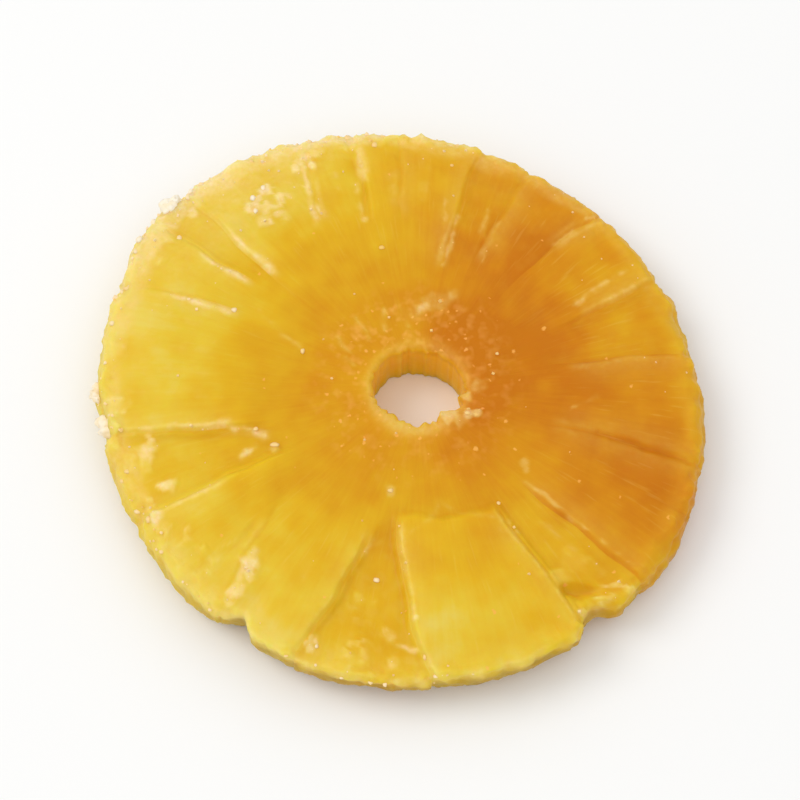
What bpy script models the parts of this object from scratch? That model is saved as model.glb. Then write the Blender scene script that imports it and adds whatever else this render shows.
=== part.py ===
"""A candied pineapple ring: one peeled slice with its core punched out, lying flat on its underside.

Metres, +Z up. The origin is the middle of the slice's box, on the surface that it rests on. The slice is
one solid, a tube of stations bent round the core's axis. Each column of its mesh follows the creases between
the fruitlets, and each row runs round the slice at one place of its section.
"""

import math
from collections import namedtuple

import bmesh
import bpy
from mathutils import Vector, noise

MM = 0.001

# Outline, measured from the core's axis
RIM_RADIUS = 38.6 * MM
CORE_OFFSET = 3.0 * MM  # how far the core lies off the middle of the slice
CORE_OFFSET_DEG = 12.0
OVALITY = 1.4 * MM
OVAL_DEG = 142.0
RIM_BULGE = 0.15 * MM  # each fruitlet's outer end stands out this much between its creases
RIM_NOTCH = 0.3  # and a crease cuts into the rim by this share of its depth
NOTCH_WIDTH = 1.1 * MM
WALL_BELLY = 0.5 * MM  # the peeled side bows out at half height
# Cuts in the rim: direction and half width in degrees, depth in millimetres
NOTCHES = [(235.0, 3.8, 1.9), (306.0, 5.5, 1.5)]
# One side of the rim was trimmed: its upper edge is sharper there and its side slopes under
TRIM_DEG = 268.0
TRIM_HALF_DEG = (25.0, 60.0)
TRIM_SHARPENS = 0.6
UNDERCUT = 1.3 * MM

# Hole
HOLE_RADIUS = 5.65 * MM
HOLE_OVALITY = 0.4 * MM
HOLE_OVAL_DEG = 166.0
LEDGE = 1.4 * MM  # a torn scrap of core that stands into the hole at its upper edge
LEDGE_DEG = 312.0
LEDGE_HALF_DEG = 30.0

# Section
FLESH_HEIGHT = 8.1 * MM
CORE_HEIGHT = 7.9 * MM
CORE_RADIUS = 13.5 * MM
CORE_RISE = 8.0 * MM  # the face rises from the core's height to the flesh's within this length
MOAT_DEPTH = 0.15 * MM  # the flesh shrinks away a little just outside the core
MOAT_RADIUS = 17.5 * MM
MOAT_WIDTH = 3.5 * MM
RIM_DROP = 0.9 * MM  # how far the face falls from the flesh to the rim
RIM_DROP_FROM = 0.72  # it begins to fall at this share of the rim's radius
CORNERS = {"rim_top": 1.7 * MM, "rim_base": 1.3 * MM, "hole_top": 0.7 * MM, "hole_base": 0.5 * MM}

# Relief
STEP_WIDTH = 0.7 * MM  # a fruitlet's side rises or falls within this width
GROOVE_WIDTH = 0.55 * MM
LIP_RISE = 0.12 * MM  # the face curls up beside a crease
LIP_AWAY = 1.1 * MM
CROWN = 0.16 * MM  # the middle of a fruitlet swells this much
CREASE_OPENS = (-1.0 * MM, 3.0 * MM)  # a crease opens to its depth between these distances from its reach
SHOULDER_WANDER = 1.6 * MM  # the line where the fruitlets rise from the core wanders this far
RIM_FILL = 0.5  # a sunken fruitlet comes back up by this share at the rim
FADE_FROM = 31.0 * MM  # creases and sunken fruitlets fade from here to the rim
CREASE_FADE = 0.45  # a crease loses this share of its depth there
WARP = 0.45 * MM  # the dried slice is bent a little, like a saddle
WARP_DEG = 30.0
SINK = 0.15 * MM  # how far its own weight flattens the soft underside on the surface
BASE_SHARE = 0.55  # the underside repeats the upper relief at this share
BASE_CURL = 0.5 * MM  # the underside rises this much towards the rim
BASE_CURL_FROM = 0.75
CREASE_WANDER = 0.5 * MM
WANDER_LENGTH = 5.0 * MM
ROLL = 0.28 * MM  # long soft undulation of a face
ROLL_LENGTH = 11.0 * MM

# Mesh
TUBE_RADIUS = 3.0  # any size: a plain torus whose points are then moved to their places
DEGREES_PER_COLUMN = 4.6
COLUMNS_AT_CREASE = 2  # more columns for each fruitlet, gathered at its creases
CREASE_GATHER = 0.75
ROWS = {"top": 16, "corner": 2, "wall": 2, "base": 8, "hole": 2}

FLESH_COLOUR = (0.86, 0.50, 0.05, 1.0)
FLESH_ROUGHNESS = 0.32
SHARP_DEG = 50.0

# The fruitlets, counter-clockwise. start is where a fruitlet's first crease meets the rim, in degrees, and
# lean is how far that crease turns on its way to the core. The others are in millimetres: reach is the
# radius where the crease begins, rise the length in which the fruitlet rises from the core, groove the
# crease's depth, lift the fruitlet's height over the face, tilt its rise from its first crease to its
# second, and rim_first and rim_last how far its outer end stands out at the two creases.
Fruitlet = namedtuple("Fruitlet", "start lean reach rise groove lift tilt rim_first rim_last")
FRUITLETS = [
    Fruitlet(8, 2, 18, 9, 0.35, -0.20, 0.2, 0.0, 0.2),
    Fruitlet(27, -3, 20, 9, 0.30, 0.25, -0.3, 0.2, 0.1),
    Fruitlet(46, 4, 19, 9, 0.35, -0.05, -0.2, 0.1, 0.0),
    Fruitlet(64, 4, 21, 8, 0.35, -0.25, 0.2, 0.0, -0.1),
    Fruitlet(76, 3, 18, 8, 0.40, 0.20, -0.2, 0.0, 0.0),
    Fruitlet(94, 1, 26, 8, 0.20, 0.05, 0.1, 0.1, 0.1),
    Fruitlet(103, 2, 25, 6, 0.50, -0.20, 0.3, 0.1, 0.3),
    Fruitlet(113, 5, 27, 8, 0.40, 0.10, 0.2, 0.3, 0.9),
    Fruitlet(138, 3, 25, 5, 0.55, -0.40, 0.0, 1.1, 1.1),
    Fruitlet(145, 0, 27, 8, 0.45, 0.25, -0.4, 0.9, -0.3),
    Fruitlet(158, -3, 26, 9, 0.50, 0.35, 0.2, -0.5, -1.4),
    Fruitlet(188, 6, 21, 6, 0.45, -0.45, 0.2, -1.3, -1.1),
    Fruitlet(207, 0, 19, 9, 0.35, 0.30, -0.3, -1.1, 0.1),
    Fruitlet(231, -8, 24, 9, 0.25, 0.20, 0.3, -0.1, 0.5),
    Fruitlet(247, 7, 21, 5, 0.45, -0.80, 0.0, 0.7, 0.3),
    Fruitlet(272, -11, 18, 1.5, 0.45, 0.60, 0.2, 0.0, 0.0),
    Fruitlet(303, -2, 19, 6, 0.50, -0.30, 0.1, -0.7, 0.0),
    Fruitlet(317, -3, 20, 9, 0.40, 0.10, -0.3, 0.1, 0.1),
    Fruitlet(344, -1, 19, 9, 0.40, -0.10, -0.1, 0.0, 0.0),
]

Station = namedtuple("Station", "out out_by up up_by")
Column = namedtuple("Column", "fruitlet share")


def ramp(value, low, high):
    """0 below low, 1 above high, and a smooth rise between them."""
    t = min(max((value - low) / (high - low), 0.0), 1.0)
    return t * t * (3 - 2 * t)


def mix(a, b, share):
    return a + (b - a) * share


def bump(distance, width):
    return math.exp(-((distance / width) ** 2))


def turned(degrees):
    """An angle in degrees as the nearest turn to zero."""
    return (degrees + 180.0) % 360.0 - 180.0


def soft_noise(x, y, layer, length):
    """Smooth noise from -1 to 1 with features about length across."""
    return noise.noise(Vector((x / length, y / length, 7.3 * layer)))


def fruitlet(index):
    return FRUITLETS[index % len(FRUITLETS)]


def crease_deg(index, radius):
    """Where a fruitlet's first crease lies at this radius. It counts on past 360 for the next turn."""
    piece = fruitlet(index)
    along = min(max((RIM_RADIUS - radius) / (RIM_RADIUS - piece.reach * MM), 0.0), 1.0)
    wander = CREASE_WANDER * soft_noise(radius, 0.0, index % len(FRUITLETS), WANDER_LENGTH)
    wander /= max(radius, CORE_RADIUS)
    turns = index // len(FRUITLETS)
    return piece.start + piece.lean * along + math.degrees(wander) + 360.0 * turns


def columns():
    """The mesh's columns: each fruitlet has some for its width, and they gather at its creases."""
    made = []
    for index in range(len(FRUITLETS)):
        width = crease_deg(index + 1, RIM_RADIUS) - crease_deg(index, RIM_RADIUS)
        count = round(width / DEGREES_PER_COLUMN) + COLUMNS_AT_CREASE
        for step in range(count):
            even = step / count
            gathered = even - CREASE_GATHER * math.sin(2 * math.pi * even) / (2 * math.pi)
            made.append(Column(index, gathered))
    return made


def corner(name, out, up, first_deg):
    """Stations round one rounded edge of the section, a quarter turn from first_deg.

    A station's out is 0 at the hole and 1 at the rim, and its up is 0 at the base and 1 at the top.
    """
    radius = CORNERS[name]
    inwards = -1 if out else 1
    down = -1 if up else 1
    made = []
    for step in range(ROWS["corner"] + 1):
        angle = math.radians(first_deg + 90.0 * step / ROWS["corner"])
        out_by = radius * (inwards + math.sin(angle))
        up_by = radius * (down + math.cos(angle))
        made.append(Station(out, out_by, up, up_by))
    return made


def between(first, last, count):
    """Stations evenly between two others, without either."""
    steps = [step / (count + 1) for step in range(1, count + 1)]
    return [Station(*(mix(a, b, share) for a, b in zip(first, last))) for share in steps]


def stations():
    """The section as a closed loop: out over the top, down the rim, back under the base, up the hole."""
    rim_top = corner("rim_top", 1, 1, 0)
    rim_base = corner("rim_base", 1, 0, 90)
    hole_base = corner("hole_base", 0, 0, 180)
    hole_top = corner("hole_top", 0, 1, 270)
    loop = between(hole_top[-1], rim_top[0], ROWS["top"]) + rim_top
    loop += between(rim_top[-1], rim_base[0], ROWS["wall"]) + rim_base
    loop += between(rim_base[-1], hole_base[0], ROWS["base"]) + hole_base
    loop += between(hole_base[-1], hole_top[0], ROWS["hole"]) + hole_top
    return loop


def rim_radius(column, degrees, width):
    """Radius of the outside in one direction, on a fruitlet of this width."""
    piece = fruitlet(column.fruitlet)
    radius = RIM_RADIUS - CORE_OFFSET * math.cos(math.radians(degrees - CORE_OFFSET_DEG))
    radius += OVALITY * math.cos(math.radians(2 * (degrees - OVAL_DEG)))
    radius += mix(piece.rim_first, piece.rim_last, column.share) * MM
    radius += RIM_BULGE * (1 - (2 * column.share - 1) ** 2)
    for index, share in ((column.fruitlet, column.share), (column.fruitlet + 1, 1 - column.share)):
        radius -= RIM_NOTCH * fruitlet(index).groove * MM * bump(share * width, NOTCH_WIDTH)
    for middle, half_width, depth in NOTCHES:
        radius -= depth * MM * (1 - ramp(abs(turned(degrees - middle)), 0, half_width))
    return radius


def trimmed(degrees):
    """How much the rim was trimmed in one direction, from 0 to 1."""
    return 1 - ramp(abs(turned(degrees - TRIM_DEG)), *TRIM_HALF_DEG)


def hole_radius(degrees, height_share):
    radius = HOLE_RADIUS + HOLE_OVALITY * math.cos(math.radians(2 * (degrees - HOLE_OVAL_DEG)))
    near_ledge = 1 - ramp(abs(turned(degrees - LEDGE_DEG)), 0, LEDGE_HALF_DEG)
    return radius - LEDGE * near_ledge * ramp(height_share, 0.2, 0.9)


def shoulder(index, share, radius):
    """How far a fruitlet has risen from the core: 0 at the core, 1 on the fruitlet."""
    piece = fruitlet(index)
    begins = mix(piece.reach, fruitlet(index + 1).reach, share) * MM
    begins += SHOULDER_WANDER * soft_noise(2.5 * share, index, 10, 1.0)
    return ramp(radius, begins - 0.5 * piece.rise * MM, begins + 0.5 * piece.rise * MM)


def stand(index, share, radius):
    """A fruitlet's height over the face. A sunken one comes back up towards the rim."""
    piece = fruitlet(index)
    height = piece.lift + piece.tilt * (share - 0.5)
    if height < 0:
        height *= 1 - RIM_FILL * ramp(radius, FADE_FROM, RIM_RADIUS)
    return height * MM * shoulder(index, share, radius)


def relief(column, radius, x, y):
    """Height of the fruitlets' relief over a smooth face."""
    index, share = column
    width = math.radians(crease_deg(index + 1, radius) - crease_deg(index, radius)) * radius
    gaps = (share * width, (1 - share) * width)
    beside = stand(index - 1, 1, radius) if share < 0.5 else stand(index + 1, 0, radius)
    height = mix(stand(index, share, radius), beside, 0.5 * (1 - ramp(min(gaps), 0, STEP_WIDTH)))
    height += CROWN * (1 - (2 * share - 1) ** 2) * shoulder(index, share, radius)
    for gap, crease in zip(gaps, (index, index + 1)):
        reach = fruitlet(crease).reach * MM
        opened = ramp(radius - reach, *CREASE_OPENS)
        opened *= 1 - CREASE_FADE * ramp(radius, FADE_FROM, RIM_RADIUS)
        height -= opened * fruitlet(crease).groove * MM * bump(gap, GROOVE_WIDTH)
        height += opened * LIP_RISE * bump(gap - LIP_AWAY, 0.7 * LIP_AWAY)
    return height + ROLL * soft_noise(x, y, 3, ROLL_LENGTH)


def top_height(column, degrees, radius, rim, x, y):
    flesh = mix(CORE_HEIGHT, FLESH_HEIGHT, ramp(radius, CORE_RADIUS, CORE_RADIUS + CORE_RISE))
    flesh -= MOAT_DEPTH * bump(radius - MOAT_RADIUS, MOAT_WIDTH)
    flesh -= RIM_DROP * ramp(radius, RIM_DROP_FROM * rim, rim) ** 2
    return flesh + relief(column, radius, x, y) + warp(degrees, radius)


def base_height(column, degrees, radius, rim, x, y):
    """The underside: hollow where the top is hollow, and flattened where it meets the surface."""
    height = warp(degrees, radius) - SINK - BASE_SHARE * relief(column, radius, x, y)
    height += BASE_CURL * ramp(radius, BASE_CURL_FROM * rim, rim)
    return max(height, 0.0)


def warp(degrees, radius):
    return WARP * (radius / RIM_RADIUS) ** 2 * math.cos(math.radians(2 * (degrees - WARP_DEG)))


def surface_point(column, station):
    """Where one point of the mesh lies, from the core's axis."""
    radius = mix(HOLE_RADIUS, RIM_RADIUS, station.out)
    for _ in range(2):  # the crease's direction and the rim's radius depend on each other
        first, last = crease_deg(column.fruitlet, radius), crease_deg(column.fruitlet + 1, radius)
        degrees = mix(first, last, column.share)
        rim = rim_radius(column, degrees, math.radians(last - first) * RIM_RADIUS)
        inner = hole_radius(degrees, station.up)
        belly = WALL_BELLY * station.out * math.sin(math.pi * station.up)
        belly -= UNDERCUT * trimmed(degrees) * (1 - station.up)
        rounding = 1 - TRIM_SHARPENS * trimmed(degrees) * station.out
        radius = mix(inner, rim + belly, station.out) + station.out_by * rounding
    direction = math.radians(degrees)
    x, y = radius * math.cos(direction), radius * math.sin(direction)
    top = top_height(column, degrees, radius, rim, x, y)
    base = base_height(column, degrees, radius, rim, x, y)
    return Vector((x, y, mix(base, top, station.up) + station.up_by * rounding))


def ring_mesh():
    """A torus from a spun circle, each of whose points is then moved to its place on the slice."""
    around, section = columns(), stations()
    bm = bmesh.new()
    circle = bmesh.ops.create_circle(bm, segments=len(section), radius=1.0)
    for vert in circle["verts"]:
        vert.co = (vert.co.x + TUBE_RADIUS, 0.0, vert.co.y)
    bmesh.ops.spin(
        bm,
        geom=bm.edges[:],
        axis=(0, 0, 1),
        cent=(0, 0, 0),
        angle=2 * math.pi,
        steps=len(around),
        use_merge=True,
    )
    for vert in bm.verts:
        across = math.hypot(vert.co.x, vert.co.y) - TUBE_RADIUS
        column = round(math.atan2(vert.co.y, vert.co.x) / (2 * math.pi) * len(around)) % len(around)
        row = round(math.atan2(across, vert.co.z) / (2 * math.pi) * len(section)) % len(section)
        vert.co = surface_point(around[column], section[row])
    bmesh.ops.recalc_face_normals(bm, faces=bm.faces[:])
    low = [min(vert.co[axis] for vert in bm.verts) for axis in range(3)]
    high = [max(vert.co[axis] for vert in bm.verts) for axis in range(3)]
    middle = Vector(((low[0] + high[0]) / 2, (low[1] + high[1]) / 2, 0.0))
    bmesh.ops.translate(bm, verts=bm.verts[:], vec=-middle)
    mesh = bpy.data.meshes.new("pineapple_ring")
    bm.to_mesh(mesh)
    bm.free()
    return mesh


def candied_flesh():
    material = bpy.data.materials.new("candied_flesh")
    material.use_nodes = True
    shader = material.node_tree.nodes["Principled BSDF"]
    shader.inputs["Base Color"].default_value = FLESH_COLOUR
    shader.inputs["Roughness"].default_value = FLESH_ROUGHNESS
    shader.inputs["Metallic"].default_value = 0.0
    return material


def main():
    for leftover in list(bpy.data.objects):
        bpy.data.objects.remove(leftover)
    mesh = ring_mesh()
    mesh.shade_smooth()
    mesh.set_sharp_from_angle(angle=math.radians(SHARP_DEG))
    mesh.materials.append(candied_flesh())
    ring = bpy.data.objects.new("pineapple_ring", mesh)
    bpy.context.scene.collection.objects.link(ring)


main()
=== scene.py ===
"""The looks of a candied pineapple ring: its finely creased flesh, its sugar crust and the loose sugar on it.

Metres, +Z up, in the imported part's own frame. Directions on the slice are in degrees round the core's axis,
counter-clockwise from +X as seen from above.
"""

import math
import random
from collections import namedtuple

import bmesh
import bpy
from mathutils import Matrix, Vector, noise
from mathutils.bvhtree import BVHTree


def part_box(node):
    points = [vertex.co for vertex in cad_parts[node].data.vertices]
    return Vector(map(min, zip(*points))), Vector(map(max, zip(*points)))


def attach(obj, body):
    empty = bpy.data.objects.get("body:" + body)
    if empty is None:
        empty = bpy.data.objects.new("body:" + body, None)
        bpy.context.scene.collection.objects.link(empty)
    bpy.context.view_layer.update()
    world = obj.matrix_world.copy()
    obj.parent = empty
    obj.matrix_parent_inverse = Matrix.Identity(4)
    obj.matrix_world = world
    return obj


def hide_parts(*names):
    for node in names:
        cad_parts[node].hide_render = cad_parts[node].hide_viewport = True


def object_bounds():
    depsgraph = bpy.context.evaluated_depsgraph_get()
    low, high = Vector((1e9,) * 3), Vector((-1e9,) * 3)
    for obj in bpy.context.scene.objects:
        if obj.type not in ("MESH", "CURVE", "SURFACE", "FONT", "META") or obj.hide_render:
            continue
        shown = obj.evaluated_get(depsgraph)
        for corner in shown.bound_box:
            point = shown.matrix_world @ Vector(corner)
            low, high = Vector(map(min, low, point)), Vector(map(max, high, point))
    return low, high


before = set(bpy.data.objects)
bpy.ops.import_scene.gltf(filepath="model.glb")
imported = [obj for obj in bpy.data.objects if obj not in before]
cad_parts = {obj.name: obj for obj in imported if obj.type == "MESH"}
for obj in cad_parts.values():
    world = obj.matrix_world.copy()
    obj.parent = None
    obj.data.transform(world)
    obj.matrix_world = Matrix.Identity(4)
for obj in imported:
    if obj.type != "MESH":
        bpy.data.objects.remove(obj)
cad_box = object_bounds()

MM = 0.001

# Outline, measured from the core's axis
RIM_RADIUS = 38.6 * MM
CORE_OFFSET = 3.0 * MM
CORE_OFFSET_DEG = 12.0
OVALITY = 1.4 * MM
OVAL_DEG = 142.0
RIM_BULGE = 0.15 * MM
RIM_NOTCH = 0.3
NOTCH_WIDTH = 0.9 * MM
WALL_BELLY = 0.5 * MM
RIM_WEAR = 0.9  # how much the rounding of the rim's edges varies from place to place
RIM_WOBBLE = 0.22 * MM
NOTCHES = [(235.0, 3.8, 1.9), (306.0, 5.5, 1.5)]  # direction and half width in degrees, depth in millimetres
# One side of the rim was trimmed: its upper edge is sharper there and its side slopes under
TRIM_DEG = 268.0
TRIM_HALF_DEG = (25.0, 60.0)
TRIM_SHARPENS = 0.6
UNDERCUT = 1.3 * MM

# Hole
HOLE_RADIUS = 5.65 * MM
HOLE_OVALITY = 0.4 * MM
HOLE_OVAL_DEG = 166.0
HOLE_TEAR = 0.3 * MM
# Torn scraps that stand into the hole at its upper edge: direction and half width in degrees, depth in millimetres
SCRAPS = [(312, 13, 1.5), (300, 7, 0.5), (281, 6, 0.6), (291, 4, 0.4), (326, 9, 0.5), (346, 6, 0.8), (228, 25, 0.45)]
HOLE_LIP = 0.14 * MM

# Section
FLESH_HEIGHT = 8.1 * MM
CORE_HEIGHT = 7.9 * MM
CORE_RADIUS = 13.5 * MM
MOAT_DEPTH = 0.15 * MM
MOAT_RADIUS = 17.5 * MM
RIM_DROP = 0.9 * MM
CORNERS = {
    "rim_top": (1.7 * MM, 1.5 * MM),
    "rim_base": (1.3 * MM, 1.3 * MM),
    "hole_top": (0.7 * MM, 0.6 * MM),
    "hole_base": (0.5 * MM, 0.5 * MM),
}

# Relief
STEP_WIDTH = 0.8 * MM
GROOVE_WIDTH = 0.3 * MM
GROOVE_SHARE = 0.14  # the crust fills a crease in part
LIP_RISE = 0.05 * MM
LIP_AWAY = 0.6 * MM
CROWN = 0.14 * MM
SHOULDER_WANDER = 1.6 * MM
RIM_FILL = 0.5
FADE_FROM = 31.0 * MM
CREASE_FADE = 0.45
WARP = 0.45 * MM
WARP_DEG = 30.0
SINK = 0.15 * MM
BASE_SHARE = 0.55
BASE_CURL = 0.5 * MM
CREASE_WANDER = 0.5 * MM
ROLL = 0.28 * MM
ROLL_LENGTH = 11.0 * MM

# The pale line of crust along a crease, and a paler band beside it that is partly crust and partly painted glow of
# light through the raised edge
LINE_AWAY = 0.65 * MM
LINE_WIDTH = 0.56 * MM
# GLOW: partly sugar crust, partly painted glow of light through the raised edge
GLOW = 0.38  # the raised side is paler beside the line too
GLOW_WIDTH = 3.0 * MM

# Fine relief
STREAK_RISE = 0.035 * MM
DENT_RISE = 0.15 * MM
DENT_LENGTH = 3.2 * MM
CRUST_RISE = 0.2 * MM
CRUST_LENGTH = 1.0 * MM
RIM_ROUGH = 0.3 * MM
RIM_ROUGH_LENGTH = 1.4 * MM
CORE_GRAIN = 0.045 * MM
CORE_GRAIN_LENGTH = 0.8 * MM

# Mesh density
DEGREES_PER_COLUMN = 0.75
COLUMNS_AT_CREASE = 5
CREASE_GATHER = 0.6
ROWS = {"top": 108, "rim_top": 10, "wall": 12, "rim_base": 4, "base": 14, "hole_base": 3, "hole": 6, "hole_top": 5}

# The fruitlets, counter-clockwise, as in the solid within two degrees, with more facts each: sugar is how white the crust is along
# the fruitlet's first crease, from a distance of sugar_from to sugar_to, rough how crusted the fruitlet's face
# is, and tone how much more amber it is.
Fruitlet = namedtuple(
    "Fruitlet",
    "start lean reach rise groove lift tilt rim_first rim_last sugar sugar_from sugar_to rough tone",
)
FRUITLETS = [
    Fruitlet(8, 2, 18, 9, 0.35, -0.20, 0.2, 0.0, 0.2, 0.3, 20, 34, 0.2, -0.02),
    Fruitlet(27, -3, 20, 9, 0.30, 0.25, -0.3, 0.2, 0.1, 0.5, 24, 35, 0.0, -0.03),
    # the tone of this fruitlet and the next is partly painted shade of a ring that lay beside it
    Fruitlet(46, 4, 19, 9, 0.35, -0.05, -0.2, 0.1, 0.0, 0.45, 27, 35, 0.2, 0.17),
    Fruitlet(64, 4, 21, 8, 0.35, -0.25, 0.2, 0.0, -0.1, 0.4, 20, 27, 0.2, 0.18),
    Fruitlet(76, 3, 18, 8, 0.40, 0.20, -0.2, 0.0, 0.0, 0.45, 18, 26, 0.1, 0.08),
    Fruitlet(94, 1, 26, 8, 0.20, 0.05, 0.1, 0.1, 0.1, 0.25, 25, 36, 0.0, 0.02),
    Fruitlet(103, 2, 25, 6, 0.50, -0.20, 0.3, 0.1, 0.3, 0.55, 31, 38, 0.1, 0.00),
    Fruitlet(113, 5, 27, 8, 0.40, 0.10, 0.2, 0.3, 0.9, 0.85, 27, 37, 0.3, -0.05),
    Fruitlet(138, 3, 25, 5, 0.55, -0.40, 0.0, 1.1, 1.1, 1, 24.7, 34, 0.1, 0.06),
    Fruitlet(145, 0, 27, 8, 0.45, 0.25, -0.4, 0.9, -0.3, 1, 26.5, 35, 0.0, -0.06),
    Fruitlet(158, -3, 26, 9, 0.50, 0.35, 0.2, -0.5, -1.4, 1, 26, 35.5, 0.0, -0.06),
    Fruitlet(190, 5, 21, 6, 0.45, -0.45, 0.2, -1.3, -1.1, 0.75, 24, 38, 0.3, 0.08),
    Fruitlet(207, 0, 19, 9, 0.35, 0.30, -0.3, -1.1, 0.1, 0.7, 28, 37, 0.0, 0.00),
    Fruitlet(231, -8, 24, 9, 0.25, 0.20, 0.3, -0.1, 0.5, 0.3, 27, 36, 0.1, -0.04),
    Fruitlet(247, 7, 21, 5, 0.45, -0.80, 0.0, 0.7, 0.3, 0.35, 21, 38, 0.6, 0.12),
    Fruitlet(272, -11, 18, 1.5, 0.45, 0.60, 0.2, 0.0, 0.0, 0.5, 19, 41, 0.0, -0.07),
    Fruitlet(303, -2, 19, 6, 0.50, -0.30, 0.1, -0.7, 0.0, 0.4, 20, 39, 0.2, -0.08),
    # the tone of this fruitlet and the next is partly painted shade of a ring that lay beside it
    Fruitlet(317, -3, 20, 9, 0.40, 0.10, -0.3, 0.1, 0.1, 0.15, 19, 38, 0.0, 0.20),
    Fruitlet(344, -1, 19, 9, 0.40, -0.10, -0.1, 0.0, 0.0, 0.25, 18, 25, 0.1, 0.14),
]

# Crusted sugar on the face: direction, distance from the core's axis, size and height in millimetres, how white
# it is, and its grit, from 0 for a smooth lump to 1 for a broken net of crystals
Lump = namedtuple("Lump", "degrees away size height crust grit")
LUMPS = [
    Lump(126.5, 33.0, 3.0, 0.15, 0.35, 0.2),
    Lump(125.5, 35.3, 0.9, 0.20, 1.0, 0.2),
    Lump(129.5, 33.8, 1.1, 0.20, 0.9, 0.2),
    Lump(130.5, 31.5, 1.0, 0.20, 0.9, 0.2),
    Lump(126, 30.5, 1.4, 0.15, 0.6, 0.6),
    Lump(119, 33.5, 2.4, 0.05, 0.4, 1.0),
    Lump(114.5, 36.4, 1.7, 0.20, 0.8, 0.3),
    Lump(138.5, 40.8, 2.2, 0.30, 0.9, 0.2),
    Lump(144, 41.6, 2.0, 0.30, 0.9, 0.3),
    Lump(148.5, 41.2, 2.0, 0.25, 0.8, 0.3),
    Lump(153, 39.0, 1.0, 0.10, 0.5, 0.2),
    Lump(184, 38.8, 1.8, 0.20, 0.8, 0.4),
    Lump(106.2, 25.3, 0.7, 0.12, 0.65, 0.0),
    Lump(194.5, 35.8, 1.7, 0.30, 0.85, 0.1),
    Lump(197.5, 36.4, 1.2, 0.20, 0.5, 0.2),
    Lump(192.5, 34.9, 0.7, 0.3, 0.9, 0.1),
    Lump(191.5, 35.0, 0.6, 0.25, 0.8, 0.2),
    Lump(203.5, 34.6, 1.1, 0.35, 1.0, 0.0),
    Lump(208.8, 37.8, 1.2, 0.30, 1.0, 0.1),
    Lump(210.5, 38.3, 0.7, 0.25, 0.7, 0.3),
    Lump(205, 20.2, 0.8, 0.30, 0.7, 0.3),
    Lump(229.3, 32.2, 1.3, 0.40, 1.0, 0.0),
    Lump(231.0, 33.4, 0.9, 0.30, 0.9, 0.1),
    Lump(231.0, 35.9, 1.5, 0.30, 0.85, 0.1),
    Lump(231.0, 37.2, 1.3, 0.25, 0.7, 0.4),
    Lump(249, 36.6, 0.9, 0.35, 0.9, 0.5),
    Lump(263.5, 33.6, 1.1, 0.20, 0.55, 0.4),
    Lump(269.2, 31.4, 0.6, 0.20, 0.9, 0.0),
    Lump(257, 36.2, 2.2, 0.20, 0.5, 1.0),
    Lump(265.0, 37.0, 1.0, 0.25, 0.7, 0.4),
    Lump(303.6, 36.3, 0.8, 0.20, 0.8, 0.2),
    Lump(256, 30.5, 2.5, 0.10, 0.3, 1.0),
    Lump(256, 14.8, 0.8, 0.15, 0.6, 0.2),
    Lump(82, 12.0, 1.5, 0.05, 0.45, 0.3),
    Lump(88, 11.0, 1.1, 0.05, 0.5, 0.3),
    Lump(321, 17.0, 0.8, 0.08, 0.4, 0.3),
    Lump(320, 17.8, 0.6, 0.08, 0.4, 0.3),
    Lump(304, 31.0, 1.6, 0.35, 0.35, 0.1),
    Lump(309, 30.5, 2.0, 0.20, 0.3, 0.4),
    Lump(300, 22.4, 1.4, 0.10, 0.4, 0.9),
    Lump(314, 5.4, 1.7, 0.10, 0.9, 0.2),
    Lump(318, 6.8, 1.3, 0.15, 0.6, 0.4),
    Lump(329, 7.4, 0.8, 0.20, 0.9, 0.1),
    Lump(333, 8.2, 0.7, 0.20, 0.8, 0.2),
    Lump(347, 6.2, 0.9, 0.15, 0.7, 0.2),
    Lump(0, 7.2, 1.4, 0.05, 0.4, 0.5),
    Lump(300, 6.2, 1.3, 0.05, 0.5, 0.4),
]
# Caked patches of small lumps: the patch's direction, distance and radius, the number of lumps, their size and
# how white they are
Patch = namedtuple("Patch", "degrees away radius count size crust")
PATCHES = [
    Patch(129.2, 33.6, 1.3, 9, 0.70, 1.2),
    Patch(127.0, 31.6, 1.5, 7, 0.60, 1.1),
    Patch(123.8, 33.4, 1.6, 7, 0.60, 1.1),
    Patch(125.0, 35.2, 0.9, 5, 0.60, 1.2),
    Patch(115.0, 36.4, 1.4, 8, 0.70, 1.1),
    Patch(112.0, 38.4, 1.8, 9, 0.70, 0.75),
    Patch(104.5, 38.2, 1.8, 9, 0.70, 0.70),
    Patch(97.0, 37.6, 1.6, 6, 0.60, 0.50),
    Patch(89.0, 37.0, 1.6, 5, 0.60, 0.45),
    Patch(172.0, 40.2, 1.8, 7, 0.70, 0.55),
    Patch(190.0, 39.4, 1.8, 8, 0.70, 0.60),
    Patch(205.0, 38.4, 1.6, 6, 0.60, 0.60),
    Patch(139.5, 40.6, 1.8, 9, 0.90, 0.9),
    Patch(146.0, 41.0, 2.0, 12, 0.80, 0.8),
    Patch(152.0, 39.8, 1.8, 8, 0.70, 0.6),
    Patch(184.0, 39.0, 1.6, 8, 0.70, 0.7),
    Patch(197.0, 37.0, 1.6, 7, 0.60, 0.5),
    Patch(214.0, 37.2, 2.0, 8, 0.60, 0.5),
    Patch(222.0, 36.0, 2.0, 7, 0.55, 0.4),
    Patch(249.0, 36.8, 0.7, 4, 0.60, 0.9),
    Patch(259.0, 36.6, 3.0, 12, 0.60, 0.5),
    Patch(312.5, 37.3, 1.4, 6, 0.50, 0.6),
    Patch(308.5, 36.7, 1.1, 7, 0.45, 0.6),
]
PATCH_LUMP_HEIGHT = 0.3

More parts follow.
